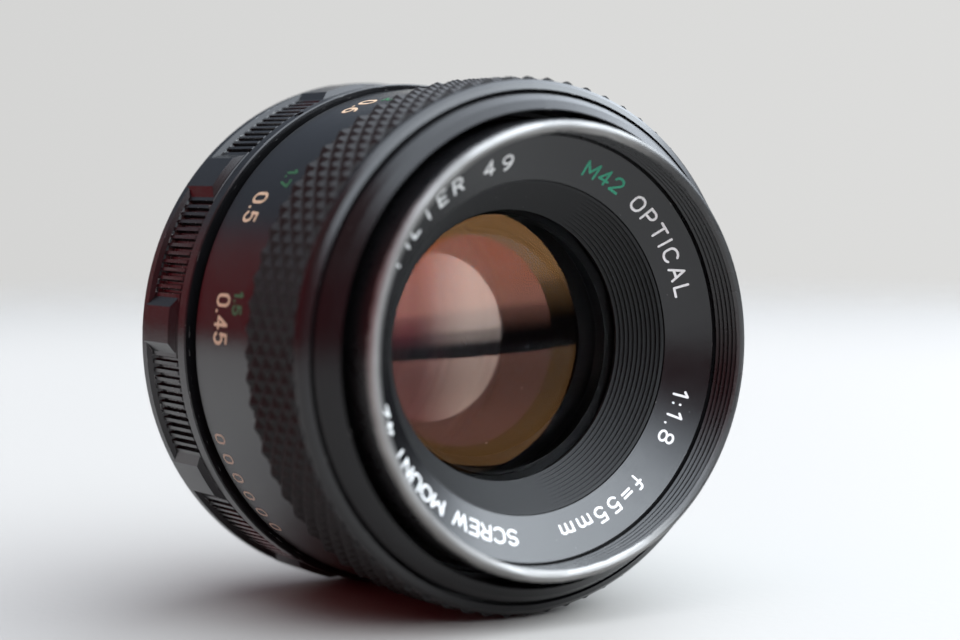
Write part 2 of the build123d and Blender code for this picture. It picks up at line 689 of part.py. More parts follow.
os.makedirs("parts", exist_ok=True)
for node, build in NODES.items():
    save(node, build())
for leaf_number in range(BLADES):
    save(f"iris_blade_{leaf_number + 1}", iris_blade(leaf_number))
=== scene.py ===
import json
import math

import bpy
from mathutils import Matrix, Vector


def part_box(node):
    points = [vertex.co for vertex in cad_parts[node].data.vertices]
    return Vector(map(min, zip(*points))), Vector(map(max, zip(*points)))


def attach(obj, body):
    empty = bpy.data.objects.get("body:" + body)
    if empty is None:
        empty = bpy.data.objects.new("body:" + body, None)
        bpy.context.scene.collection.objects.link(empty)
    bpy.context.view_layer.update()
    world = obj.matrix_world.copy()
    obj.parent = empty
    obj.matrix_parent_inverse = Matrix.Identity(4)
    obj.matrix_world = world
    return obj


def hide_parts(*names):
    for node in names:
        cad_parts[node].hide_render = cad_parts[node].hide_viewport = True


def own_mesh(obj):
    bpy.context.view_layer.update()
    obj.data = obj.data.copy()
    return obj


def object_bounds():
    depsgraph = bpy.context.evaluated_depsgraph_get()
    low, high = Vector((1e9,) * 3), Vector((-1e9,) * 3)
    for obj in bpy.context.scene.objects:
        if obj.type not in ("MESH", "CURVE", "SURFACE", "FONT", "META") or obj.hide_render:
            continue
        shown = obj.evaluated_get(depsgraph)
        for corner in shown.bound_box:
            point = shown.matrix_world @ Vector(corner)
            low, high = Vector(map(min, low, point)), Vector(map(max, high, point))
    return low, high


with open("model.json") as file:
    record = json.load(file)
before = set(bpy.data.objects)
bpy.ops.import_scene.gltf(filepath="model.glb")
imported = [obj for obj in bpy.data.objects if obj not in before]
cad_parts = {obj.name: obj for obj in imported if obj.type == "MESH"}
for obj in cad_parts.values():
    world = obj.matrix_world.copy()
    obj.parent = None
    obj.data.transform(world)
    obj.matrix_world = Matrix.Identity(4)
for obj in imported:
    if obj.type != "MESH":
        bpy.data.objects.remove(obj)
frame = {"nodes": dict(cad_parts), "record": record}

# The looks of a 55 mm prime lens lying on a pale table. Metres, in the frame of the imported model:
# +Y runs along the optical axis to the rear and +Z is up. Radii, depths behind the front rim and
# widths below are millimetres, and clock angles are degrees clockwise from the top, seen from the front.

CAD_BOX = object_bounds()
MM = 0.001
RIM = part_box("filter_ring")[0].y                # the front rim on the optical axis
GROUND = CAD_BOX[0].z                           # the lens lies on the rear rim of its aperture ring
BAND_RADIUS = 29.6                              # distance scale
RING_RADIUS = 30.2                              # numbered land of the aperture ring
INDEX_RADIUS = 30.3                             # fixed ring with the index
INDEX = 108.6                                   # clock angle of the index
FOCUS_RATE = 21.0                               # degrees of focus ring turn per mm of travel
NAME_OUTER, NAME_FRONT = 23.78, 4.36            # radius and depth of the data ring's outer edge
NAME_INNER, NAME_REAR = 18.87, 7.02             # and of its inner edge
FRONT_GLASS_RADIUS = 31.0                       # curvature of the front glass


def at(radius, depth, clock):
    """The frame point at a radius, a depth behind the front rim and a clock angle."""
    turn = math.radians(clock)
    return Vector((radius * MM * math.sin(turn), RIM + depth * MM, radius * MM * math.cos(turn)))


def name_depth(radius):
    """Depth of the data ring's cone at a radius."""
    return NAME_FRONT + (NAME_OUTER - radius) * (NAME_REAR - NAME_FRONT) / (NAME_OUTER - NAME_INNER)


# ---- shader nodes -------------------------------------------------------------------------------
class Graph:
    """Wires shader nodes with short calls. An argument can be a socket, a number or a colour."""

    def __init__(self, tree):
        tree.nodes.clear()
        self.tree = tree

    def node(self, kind, **settings):
        made = self.tree.nodes.new("ShaderNode" + kind)
        for key, value in settings.items():
            setattr(made, key, value)
        return made

    def feed(self, socket, value):
        if isinstance(value, bpy.types.NodeSocket):
            self.tree.links.new(value, socket)
        elif socket.type == "RGBA":
            socket.default_value = (*value, 1)
        else:
            socket.default_value = value

    def math(self, operation, *values):
        made = self.node("Math", operation=operation)
        for socket, value in zip(made.inputs, values):
            self.feed(socket, value)
        return made.outputs[0]

    def add(self, first, second):
        made = self.node("AddShader")
        self.feed(made.inputs[0], first)
        self.feed(made.inputs[1], second)
        return made.outputs[0]

    def hypot(self, first, second):
        squares = [self.math("POWER", value, 2) for value in (first, second)]
        return self.math("SQRT", self.math("ADD", *squares))

    def ramp(self, value, low, high, start=0.0, end=1.0):
        """A smooth step from start to end while value goes from low to high."""
        made = self.node("MapRange", interpolation_type="SMOOTHSTEP")
        for socket, given in zip(made.inputs, (value, low, high, start, end)):
            self.feed(socket, given)
        return made.outputs[0]

    def mix(self, share, first, second):
        made = self.node("Mix", data_type="RGBA", clamp_factor=False)
        self.feed(made.inputs[0], share)
        self.feed(made.inputs[6], first)
        self.feed(made.inputs[7], second)
        return made.outputs[2]

    def blend(self, share, first, second):
        made = self.node("MixShader")
        for socket, given in zip(made.inputs, (share, first, second)):
            self.feed(socket, given)
        return made.outputs[0]

    def join(self, x, y, z):
        made = self.node("CombineXYZ")
        for socket, given in zip(made.inputs, (x, y, z)):
            self.feed(socket, given)
        return made.outputs[0]

    def split(self, vector):
        made = self.node("SeparateXYZ")
        self.feed(made.inputs[0], vector)
        return made.outputs

    def noise(self, vector, scale, detail=3.0, roughness=0.5):
        made = self.node("TexNoise")
        self.feed(made.inputs["Vector"], vector)
        made.inputs["Scale"].default_value = scale
        made.inputs["Detail"].default_value = detail
        made.inputs["Roughness"].default_value = roughness
        return made.outputs[0]

    def specks(self, vector, scale, size):
        """Rare round specks, 1 inside and 0 outside."""
        made = self.node("TexVoronoi")
        self.feed(made.inputs["Vector"], vector)
        made.inputs["Scale"].default_value = scale
        near = self.ramp(made.outputs["Distance"], size, size * 0.6)
        rare = self.ramp(self.split(made.outputs["Color"])[0], 0.8, 0.82)
        return self.math("MULTIPLY", near, rare)

    def polar(self):
        """Object position in millimetres, radius from the optical axis, depth behind the rim and turn."""
        place = self.node("TexCoord").outputs["Object"]
        scaled = self.node("VectorMath", operation="SCALE")
        self.feed(scaled.inputs[0], place)
        scaled.inputs["Scale"].default_value = 1 / MM
        x, y, z = self.split(scaled.outputs[0])
        depth = self.math("SUBTRACT", y, RIM / MM)
        return scaled.outputs[0], self.hypot(x, z), depth, self.math("ARCTAN2", x, z)

    def turned(self, scale, radius, depth, turn, stretch, detail, roughness=0.5):
        """Noise drawn out along the turning direction; a small stretch gives long marks."""
        return self.noise(self.join(self.math("MULTIPLY", turn, stretch), radius, depth),
                          scale, detail, roughness)

    def bump(self, height, distance):
        made = self.node("Bump")
        self.feed(made.inputs["Height"], height)
        made.inputs["Distance"].default_value = distance * MM
        made.inputs["Strength"].default_value = 1.0
        return made.outputs[0]

    def edges(self, radius):
        """1 along sharp edges, found by comparing the rounded normal with the true one."""
        rounded = self.node("Bevel", samples=6)
        rounded.inputs["Radius"].default_value = radius * MM
        compare = self.node("VectorMath", operation="DOT_PRODUCT")
        self.feed(compare.inputs[0], rounded.outputs[0])
        self.feed(compare.inputs[1], self.node("NewGeometry").outputs["Normal"])
        return self.ramp(compare.outputs["Value"], 0.985, 0.86)

    def principled(self, colour, roughness, metallic=0.0, normal=None, **others):
        made = self.node("BsdfPrincipled")
        self.feed(made.inputs["Base Color"], colour)
        self.feed(made.inputs["Roughness"], roughness)
        self.feed(made.inputs["Metallic"], metallic)
        if normal:
            self.feed(made.inputs["Normal"], normal)
        for key, value in others.items():
            self.feed(made.inputs[key.replace("_", " ")], value)
        return made.outputs[0]

    def finish(self, shader):
        target = self.node("OutputMaterial")
        self.tree.links.new(shader, target.inputs["Surface"])


def material(name):
    made = bpy.data.materials.new(name)
    made.use_nodes = True
    return made, Graph(made.node_tree)


# ---- materials ----------------------------------------------------------------------------------
BLACK = (0.0042, 0.0042, 0.0046)
FAINT, FAINT_GREEN = (0.003, 0.0032, 0.0036), (0.004, 0.007, 0.005)
OCHRE = (0.045, 0.024, 0.008)
CREAM, BEIGE, WHITE = (0.62, 0.45, 0.30), (0.55, 0.42, 0.32), (0.82, 0.82, 0.80)
GREEN, DARK_GREEN, RED = (0.02, 0.30, 0.17), (0.02, 0.12, 0.045), (0.45, 0.03, 0.02)
UNWORN_CLOCK = 88                               # middle of the stretch of the front lip that kept its black


def anodised(name, rough, wear=0.0, wear_radius=0.12, dust=0.02, lip=None, shine=0.5):
    """Black anodised aluminium with turning marks, dust, and edges worn to bare metal.

    lip is a depth: metal in front of it is worn bright, in patches, all round but on the right."""
    made, g = material(name)
    place, radius, depth, turn = g.polar()
    lines = g.turned(14.0, radius, depth, turn, 0.6, 2.0)
    cloud = g.noise(place, 0.35, 4.0)
    grain = g.noise(place, 9.0, 3.0)
    roughness = g.math("ADD", g.math("MULTIPLY", cloud, 0.12), rough - 0.06)
    tone = g.mix(cloud, [c * 0.7 for c in BLACK], [c * 1.35 for c in BLACK])
    specks = g.math("MULTIPLY", g.specks(place, 0.9, 0.06), dust * 10)
    tone = g.mix(specks, tone, (0.35, 0.34, 0.33))
    height = g.math("ADD", g.math("MULTIPLY", lines, 0.7), g.math("MULTIPLY", grain, 0.5))
    normal = g.bump(height, 0.012)
    black = g.principled(tone, roughness, normal=normal, Specular_IOR_Level=shine)
    patches = g.turned(0.9, radius, depth, turn, 3.0, 3.0)
    bright = g.mix(g.ramp(patches, 0.45, 0.66), (0.20, 0.195, 0.187), (0.32, 0.315, 0.305))
    bare = g.principled(bright, 0.5, metallic=1.0, normal=normal)
    scratches = g.turned(1.3, radius, depth, turn, 9.0, 5.0, 0.65)
    worn = g.math("MULTIPLY", g.edges(wear_radius), g.ramp(scratches, 0.62 - wear, 0.68 - wear))
    if lip is not None:
        away = g.math("ABSOLUTE", g.math("SUBTRACT", turn, math.radians(UNWORN_CLOCK)))
        reach = g.math("SUBTRACT", g.math("MULTIPLY", scratches, 0.9), g.ramp(away, 1.5, 1.9, 0.0, 0.35))
        front = g.ramp(g.math("ADD", depth, reach), lip + 0.5, lip + 0.35)
        worn = g.math("MULTIPLY", g.math("MAXIMUM", worn, front), g.ramp(away, 0.85, 1.3, 0.12, 1.0))
    g.finish(g.blend(worn, black, bare))
    return made


def matt_black(name, dust=0.03):
    """Flocked or sandblasted black inside the lens, with dust."""
    made, g = material(name)
    place = g.polar()[0]
    grain = g.noise(place, 22.0, 3.0)
    tone = g.mix(grain, (0.002, 0.002, 0.002), (0.005, 0.005, 0.0052))
    specks = g.math("MULTIPLY", g.specks(place, 1.6, 0.08), dust * 10)
    tone = g.mix(specks, tone, (0.4, 0.4, 0.4))
    g.finish(g.principled(tone, g.ramp(grain, 0.2, 0.8, 0.36, 0.5), normal=g.bump(grain, 0.012),
                          Specular_IOR_Level=0.3))
    return made


def rubber():
    """Moulded black rubber, brownish with age, with pale dust specks."""
    made, g = material("grip_rubber_aged")
    place = g.polar()[0]
    cloud = g.noise(place, 0.25, 4.0)
    grain = g.noise(place, 16.0, 4.0)
    tone = g.mix(cloud, (0.0035, 0.0025, 0.0025), (0.008, 0.006, 0.006))
    tone = g.mix(g.math("MULTIPLY", g.specks(place, 1.1, 0.08), 0.25), tone, (0.2, 0.18, 0.17))
    roughness = g.ramp(grain, 0.2, 0.8, 0.42, 0.6)
    g.finish(g.principled(tone, roughness, normal=g.bump(grain, 0.015), Specular_IOR_Level=0.3))
    return made


def turned_metal(name, dark, light, rough, painted=0.0):
    """Bare metal with fine concentric turning marks and a cloudy patina.

    It is painted black in front of the depth painted."""
    made, g = material(name)
    place, radius, depth, turn = g.polar()
    lines = g.turned(18.0, radius, depth, turn, 0.4, 3.0)
    cloud = g.noise(place, 0.5, 4.0)
    tone = g.mix(g.math("ADD", g.math("MULTIPLY", lines, 0.4), g.math("MULTIPLY", cloud, 0.6)), dark, light)
    roughness = g.math("ADD", g.math("MULTIPLY", cloud, 0.15), rough - 0.07)
    bare = g.principled(tone, roughness, metallic=1.0, normal=g.bump(lines, 0.015))
    black = g.principled((0.003, 0.003, 0.003), 0.5, normal=g.bump(cloud, 0.02))
    g.finish(g.blend(g.ramp(depth, painted - 0.1, painted + 0.1), black, bare))
    return made


def blued_steel():
    """Blackened spring steel of the iris, slightly blue, with rub marks."""
    made, g = material("iris_blued_steel")
    radius, depth, turn = g.polar()[1:]
    rubs = g.turned(2.0, radius, depth, turn, 4.0, 5.0)
    tone = g.mix(rubs, (0.02, 0.022, 0.03), (0.09, 0.09, 0.10))
    roughness = g.ramp(rubs, 0.3, 0.7, 0.28, 0.45)
    g.finish(g.principled(tone, roughness, metallic=0.8, normal=g.bump(rubs, 0.005)))
    return made


def paint(name, colour):
    """Engraving paint, slightly uneven."""
    made, g = material(name)
    place = g.polar()[0]
    grain = g.noise(place, 5.0, 4.0)
    tone = g.mix(grain, [c * 0.82 for c in colour], colour)
    g.finish(g.principled(tone, 0.55, normal=g.bump(grain, 0.01)))
    return made


def disc(g, place, depth, inward, radius, far):
    """1 where the line of sight passes a plane at the depth far inside a circle."""
    x, y, z = g.split(inward)
    travel = g.math("DIVIDE", g.math("SUBTRACT", far, depth), y)
    ahead = g.node("VectorMath", operation="MULTIPLY_ADD")
    g.feed(ahead.inputs[0], inward)
    g.feed(ahead.inputs[1], g.join(travel, travel, travel))
    g.feed(ahead.inputs[2], place)
    x, y, z = g.split(ahead.outputs[0])
    blur = 0.06
    return g.ramp(g.hypot(x, z), radius + blur, radius - blur), x, z


def curved(g, normal, across, upright):
    """The made-up normal of a painted mirror reflection, more or less curved than the glass, both ways.

    It is turned a little to the left and up, rolled a little, and tilted up or down to a limit only."""
    left, up, roll, limit = 0.10, 0.026, 0.04, 0.30
    x, y, z = g.split(normal)
    z = g.math("ADD", z, g.math("ADD", g.math("MULTIPLY", x, -roll), up))
    z = g.math("MINIMUM", g.math("MAXIMUM", g.math("MULTIPLY", z, upright), -limit), limit)
    made = g.node("VectorMath", operation="NORMALIZE")
    g.feed(made.inputs[0], g.join(g.math("SUBTRACT", g.math("MULTIPLY", x, across), left), y, z))
    return made.outputs[0]


def mirror(g, colour, normal):
    made = g.node("BsdfAnisotropic")
    g.feed(made.inputs["Color"], colour)
    made.inputs["Roughness"].default_value = 0.02
    g.feed(made.inputs["Normal"], normal)
    return made.outputs[0]


# Radius and depth of the painted discs of reflected light on the front glass.
OUTER_DISC, MIDDLE_DISC, INNER_DISC = (15.5, 20.0), (12.4, 20.7), (10.1, 28.0)


def ball_normal(g, place, radius):
    """The forward normal of a ball centred on the optical axis."""
    x, y, z = g.split(place)
    x, z = g.math("DIVIDE", x, radius), g.math("DIVIDE", z, radius)
    flat = g.math("ADD", g.math("POWER", x, 2), g.math("POWER", z, 2))
    return g.join(x, g.math("MULTIPLY", g.math("SQRT", g.math("SUBTRACT", 1.0, flat)), -1.0), z)


def painted_inner_reflections(g, place, depth, geometry):
    """Painted reflections on the front glass, standing in for the coloured discs of light that the
    surfaces behind it send back: mirror reflections with made-up normals, tinted and masked to discs
    by the line of sight, nested by parallax: an ochre outer disc, an orange to pink one and a pale
    pink one furthest in."""
    backwards = g.node("VectorMath", operation="SCALE")
    g.feed(backwards.inputs[0], geometry.outputs["Incoming"])
    backwards.inputs["Scale"].default_value = -1.0
    inward, normal = backwards.outputs[0], ball_normal(g, place, FRONT_GLASS_RADIUS)
    outer, _, height = disc(g, place, depth, inward, *OUTER_DISC)
    middle = disc(g, place, depth, inward, *MIDDLE_DISC)[0]
    inner, across, height_in = disc(g, place, depth, inward, *INNER_DISC)
    low = g.math("ADD", g.ramp(height, 1.0, -1.0, 1.0, 2.1), g.ramp(height, -4.0, -12.0, 0.0, 1.6))

    def tint(share, colour):
        return g.mix(g.math("MULTIPLY", share, low), (0.0, 0.0, 0.0), colour)

    seen = g.math("SUBTRACT", 1.0, geometry.outputs["Backfacing"])
    outer, middle, inner = (g.math("MULTIPLY", value, seen) for value in (outer, middle, inner))
    ring_share = g.math("SUBTRACT", outer, g.math("MINIMUM", outer, middle))
    ring = mirror(g, tint(ring_share, (0.0175, 0.0085, 0.0031)), curved(g, normal, 0.12, 1.0))
    upper = g.mix(g.ramp(height, 3.0, 11.0), (0.0235, 0.0098, 0.0069), (0.0255, 0.0066, 0.0023))
    second = mirror(g, tint(middle, upper), curved(g, normal, 0.12, 1.5))
    pale = g.mix(g.ramp(across, -3.0, 6.5), (0.0070, 0.0018, 0.0022), (0.040, 0.0300, 0.0250))
    inner = g.math("MULTIPLY", inner, g.ramp(height_in, 1.0, -1.0, 1.0, 1.7))
    third = mirror(g, tint(inner, pale), curved(g, normal, 0.2, 2.6))
    return g.add(g.add(ring, second), third)


def coated_glass(name, front, rear, clear, cement=None, painted_ghosts=False):
    """Coated glass. front and rear are the reflection colours of its two coated surfaces. The
    glass is ground and blackened beyond the clear radius and has no reflection at a cemented
    plane, whose depth is given. The last option adds painted reflections of the surfaces further in
    onto this glass, and painted shade that dims the view through it away from face-on."""
    made, g = material(name)
    place, radius, depth = g.polar()[:3]
    geometry = g.node("NewGeometry")
    outward = g.math("MULTIPLY", g.split(geometry.outputs["True Normal"])[1],
                     g.math("SUBTRACT", 1.0, g.math("MULTIPLY", geometry.outputs["Backfacing"], 2.0)))
    smear = g.noise(place, 0.22, 3.0)
    tone = g.mix(g.math("GREATER_THAN", outward, 0.0), front, rear)
    tone = g.mix(g.ramp(smear, 0.3, 0.7, 0.0, 0.25), tone, (0.0, 0.0, 0.0))
    facing = g.node("LayerWeight")
    facing.inputs["Blend"].default_value = 0.5
    grazing = g.math("MULTIPLY", g.math("POWER", facing.outputs["Facing"], 5.0), 0.4)
    glossy = g.node("BsdfAnisotropic")
    g.feed(glossy.inputs["Color"], g.mix(grazing, tone, (1.0, 1.0, 1.0)))
    glossy.inputs["Roughness"].default_value = 0.012
    through = g.node("BsdfRefraction")
    through.inputs["IOR"].default_value = 1.66
    through.inputs["Roughness"].default_value = 0.0
    if painted_ghosts:
        # Painted shade: the view through the front glass is dimmed to half away from face-on.
        painted_through_shade = g.ramp(facing.outputs["Facing"], 0.08, 0.20, 1.0, 0.5)
        g.feed(through.inputs["Color"], g.mix(painted_through_shade, (0.0, 0.0, 0.0), (1.0, 1.0, 1.0)))
    glass = g.add(through.outputs[0], glossy.outputs[0])
    if painted_ghosts:
        # Painted reflections of the surfaces further in, drawn on this glass.
        glass = g.add(glass, painted_inner_reflections(g, place, depth, geometry))
    dust = g.principled((0.6, 0.6, 0.6), 0.8)
    glass = g.blend(g.math("MULTIPLY", g.specks(place, 0.55, 0.035), 0.4), glass, dust)
    black = g.principled((0.003, 0.003, 0.0035), 0.5)
    rim = g.ramp(g.math("ABSOLUTE", outward), 0.25, 0.2)
    edge = g.math("MAXIMUM", rim, g.ramp(radius, clear, clear + 0.01))
    if cement is not None:
        plane = g.ramp(g.math("ABSOLUTE", g.math("SUBTRACT", depth, cement)), 0.03, 0.02)
        glass = g.blend(plane, glass, g.node("BsdfTransparent").outputs[0])
    g.finish(g.blend(edge, glass, black))
    return made


satin = anodised("black_satin", 0.19)
worn_ring = anodised("black_satin_worn", 0.2, wear=0.06, wear_radius=0.14)
lip = anodised("black_worn_lip", 0.28, wear=0.02, lip=0.4)
data_ring = anodised("black_data_ring", 0.21, dust=0.03)
collar = anodised("black_collar", 0.22, shine=0.34)
inside_black = matt_black("black_inside")
steel = turned_metal("steel_machined", (0.30, 0.30, 0.31), (0.58, 0.58, 0.60), 0.30)
chrome = turned_metal("mount_satin_chrome", (0.52, 0.52, 0.53), (0.78, 0.78, 0.79), 0.26)
BRASS = (0.42, 0.29, 0.10), (0.72, 0.55, 0.26), 0.30
ALUMINIUM = (0.45, 0.45, 0.46), (0.72, 0.72, 0.74), 0.32
PAINTED_TO = 16.0                               # depth to which the helicoid tubes are painted black
brass = turned_metal("brass_machined", *BRASS)
aluminium = turned_metal("aluminium_turned", *ALUMINIUM)
leaf_steel = blued_steel()
grip_rubber = rubber()

BY_SLOT = {
    "black_anodised": satin,
    "grip_rubber": grip_rubber,
    "steel": steel,
    "black_steel": leaf_steel,
    "brass": brass,
    "bare_aluminium": aluminium,
    "mount_chrome": chrome,
}
BY_NODE = {
    "filter_ring": lip,
    "focus_collar": collar,
    "name_ring": data_ring,
    "aperture_ring": worn_ring,
    "index_ring": worn_ring,
    "lens_1": coated_glass("glass_front", FAINT, FAINT, 16.6, painted_ghosts=True),
    "lens_2": coated_glass("glass_second", FAINT, FAINT, 14.1, cement=20.45),
    "lens_3": coated_glass("glass_third", FAINT, FAINT, 10.5, cement=20.45),
    "lens_4": coated_glass("glass_fourth", FAINT_GREEN, FAINT, 10.2, cement=41.3),
    "lens_5": coated_glass("glass_fifth", FAINT, FAINT_GREEN, 12.8, cement=41.3),
    "lens_6": coated_glass("glass_rear", FAINT_GREEN, OCHRE, 13.1),
    "helicoid_sleeve": turned_metal("brass_front_painted", *BRASS, PAINTED_TO),
    "inner_helicoid": turned_metal("aluminium_front_painted", *ALUMINIUM, PAINTED_TO),
}
for inner in ("front_baffle", "front_lens_retainer", "front_cell", "front_spacer", "optical_barrel",
              "iris_housing", "iris_retainer", "rear_cell", "rear_spacer", "rear_lens_retainer",
              "rear_baffle", "mechanism_plate", "pin_housing"):
    BY_NODE[inner] = inside_black

for part in frame["record"]["subparts"]:
    look = BY_NODE.get(part["node"]) or BY_SLOT[part["material_slot"]]
    slots = frame["nodes"][part["node"]].data.materials
    slots.clear()
    slots.append(look)


# ---- new pieces ---------------------------------------------------------------------------------
def piece(name, points, faces, look, body):
    """A new mesh object that rides on a body."""
    mesh = bpy.data.meshes.new(name)
    mesh.from_pydata(points, [], faces)
    mesh.materials.append(look)
    mesh.polygons.foreach_set("use_smooth", [False] * len(mesh.polygons))
    mesh.update()
    made = bpy.data.objects.new(name, mesh)
    bpy.context.scene.collection.objects.link(made)
    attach(made, body)
    return made


# Diamond grip: pyramids in a staggered lattice, from two crossing sets of helical grooves.
GRIP_COLUMNS = 68                               # pyramids around
GRIP_PITCH = 2.5                                # axial repeat, two staggered rows
GRIP_GROOVE = 0.6                               # groove depth
GRIP_STEPS = 8                                  # mesh steps per pyramid
GRIP_BORE = 29.65


def grip_height(across, along):
    """Height share of the grip's surface, in lattice units."""
    p, q = across + along, across - along
    away = max(abs(p - round(p)), abs(q - round(q))) * 2
    return min(1.0, max(0.0, (1 - away) / 0.88))


def diamond_grip():
    low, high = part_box("focus_grip")
    top, front, rear = high.z / MM, (low.y - RIM) / MM, (high.y - RIM) / MM
    columns = GRIP_COLUMNS * GRIP_STEPS
    step = GRIP_PITCH / GRIP_STEPS
    rows = int((rear - front) / step)
    margin = (rear - front - rows * step) / 2
    points = []
    for row in range(rows + 1):
        depth = front + margin + row * step
        for column in range(columns):
            share = grip_height(column / GRIP_STEPS, row / GRIP_STEPS)
            points.append(at(top - GRIP_GROOVE * (1 - share), depth, column * 360 / columns))
    faces = []
    for row in range(rows):
        for column in range(columns):
            a, b = row * columns + column, row * columns + (column + 1) % columns
            c, d = b + columns, a + columns
            if (column + 1 + row) % GRIP_STEPS == GRIP_STEPS // 2:
                faces += [(a, b, d), (b, c, d)]
            else:
                faces += [(a, b, c), (a, c, d)]
    outer_front, outer_rear = list(range(columns)), list(range(rows * columns, (rows + 1) * columns))
    loops = [outer_front]
    for radius, depth in ((top - GRIP_GROOVE, front), (GRIP_BORE, front), (GRIP_BORE, rear),
                          (top - GRIP_GROOVE, rear)):
        start = len(points)
        points += [at(radius, depth, column * 360 / columns) for column in range(columns)]
        loops.append(list(range(start, start + columns)))
    loops.append(outer_rear)
    for first, second in zip(loops, loops[1:]):
        for column in range(columns):
            other = (column + 1) % columns
            faces.append((first[other], first[column], second[column], second[other]))
    made = piece("grip_diamond_sleeve", points, faces, grip_rubber, "focus_ring_group")
    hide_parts("focus_grip")


def pin_coil():
    """The aperture pin's return spring, as a mesh of its own on the fixed barrel."""
    node = frame["nodes"]["pin_spring"]
    mesh = node.data.copy()
    mesh.transform(node.matrix_world)
    made = bpy.data.objects.new("pin_spring_coil", mesh)
    bpy.context.scene.collection.objects.link(made)
    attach(made, "fixed_barrel")
    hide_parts("pin_spring")
    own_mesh(made)


diamond_grip()
pin_coil()


# ---- lettering ----------------------------------------------------------------------------------
def arc(x, y, wide, high, start, end):
    """Points of an elliptical arc, in degrees anticlockwise from the right."""
    count = max(3, round(abs(end - start) / 20))
    angles = [math.radians(start + (end - start) * step / count) for step in range(count + 1)]
    return [(x + wide * math.cos(angle), y + high * math.sin(angle)) for angle in angles]


def turned_over(strokes, width):
    return [[(width - x, 1 - y) for x, y in stroke] for stroke in strokes]


SIX = [arc(0.5, 0.3, 0.5, 0.7, 95, 180) + arc(0.3, 0.3, 0.3, 0.3, 180, 540)]
GLYPHS = {                                      # width, then strokes in a box of height 1
    "0": (0.6, [arc(0.3, 0.7, 0.3, 0.3, 0, 180) + arc(0.3, 0.3, 0.3, 0.3, 180, 360) + [(0.6, 0.7)]]),
    "1": (0.3, [[(0.02, 0.76), (0.26, 1), (0.26, 0)]]),
    "2": (0.6, [arc(0.3, 0.71, 0.29, 0.29, 165, -35) + [(0, 0), (0.6, 0)]]),
    "3": (0.6, [arc(0.29, 0.75, 0.26, 0.25, 155, -90), arc(0.29, 0.26, 0.3, 0.26, 90, -155)]),
    "4": (0.64, [[(0.46, 0), (0.46, 1), (0, 0.28), (0.64, 0.28)]]),
    "5": (0.6, [[(0.54, 1), (0.1, 1), (0.05, 0.53)] + arc(0.29, 0.32, 0.31, 0.32, 118, -150)]),
    "6": (0.6, SIX),
    "7": (0.58, [[(0, 1), (0.58, 1), (0.2, 0)]]),
    "8": (0.6, [arc(0.3, 0.76, 0.25, 0.24, -90, 270), arc(0.3, 0.26, 0.3, 0.26, 90, 450)]),
    "9": (0.6, turned_over(SIX, 0.6)),
    "∞": (1.1, [arc(0.28, 0.5, 0.26, 0.24, 30, 330) + arc(0.82, 0.5, 0.26, 0.24, 210, 510)]),
    ".": (0.08, [[(0.04, 0.03), (0.04, 0.05)]]),
    ":": (0.08, [[(0.04, 0.12), (0.04, 0.14)], [(0.04, 0.62), (0.04, 0.64)]]),
    "=": (0.6, [[(0, 0.36), (0.6, 0.36)], [(0, 0.64), (0.6, 0.64)]]),
    " ": (0.35, []),
    "f": (0.42, [[(0.14, 0), (0.14, 0.78)] + arc(0.34, 0.78, 0.2, 0.2, 180, 70), [(0, 0.56), (0.38, 0.56)]]),
    "m": (0.8, [[(0, 0), (0, 0.62)], arc(0.2, 0.42, 0.2, 0.2, 180, 0) + [(0.4, 0)],
                arc(0.6, 0.42, 0.2, 0.2, 180, 0) + [(0.8, 0)]]),
    "A": (0.72, [[(0, 0), (0.36, 1), (0.72, 0)], [(0.13, 0.32), (0.59, 0.32)]]),
    "C": (0.68, [arc(0.36, 0.64, 0.36, 0.36, 35, 180) + arc(0.36, 0.36, 0.36, 0.36, 180, 325)]),
    "E": (0.56, [[(0.56, 1), (0, 1), (0, 0), (0.56, 0)], [(0, 0.5), (0.48, 0.5)]]),
    "F": (0.56, [[(0.56, 1), (0, 1), (0, 0)], [(0, 0.5), (0.46, 0.5)]]),
    "I": (0.04, [[(0.02, 0), (0.02, 1)]]),
    "L": (0.52, [[(0, 1), (0, 0), (0.52, 0)]]),
    "M": (0.78, [[(0, 0), (0, 1), (0.39, 0.3), (0.78, 1), (0.78, 0)]]),
    "N": (0.62, [[(0, 0), (0, 1), (0.62, 0), (0.62, 1)]]),
    "O": (0.7, [arc(0.35, 0.65, 0.35, 0.35, 0, 180) + arc(0.35, 0.35, 0.35, 0.35, 180, 360) + [(0.7, 0.65)]]),
    "P": (0.6, [[(0, 0), (0, 1), (0.34, 1)] + arc(0.34, 0.73, 0.25, 0.27, 90, -90) + [(0, 0.46)]]),
    "R": (0.6, [[(0, 0), (0, 1), (0.34, 1)] + arc(0.34, 0.74, 0.25, 0.26, 90, -90) + [(0, 0.48)],
                [(0.32, 0.48), (0.6, 0)]]),
    "S": (0.6, [arc(0.3, 0.75, 0.27, 0.25, 30, 260) + arc(0.3, 0.26, 0.3, 0.26, 90, -150)]),
    "T": (0.64, [[(0, 1), (0.64, 1)], [(0.32, 1), (0.32, 0)]]),
    "U": (0.64, [[(0, 1), (0, 0.32)] + arc(0.32, 0.32, 0.32, 0.32, 180, 360) + [(0.64, 1)]]),
    "W": (0.9, [[(0, 1), (0.22, 0), (0.45, 0.85), (0.68, 0), (0.9, 1)]]),
}
CAP_POINTS = 6                                  # points around each round stroke end
PAINT_RISE, PAINT_SINK = 0.018, 0.03            # how far paint stands proud, and how far it goes in


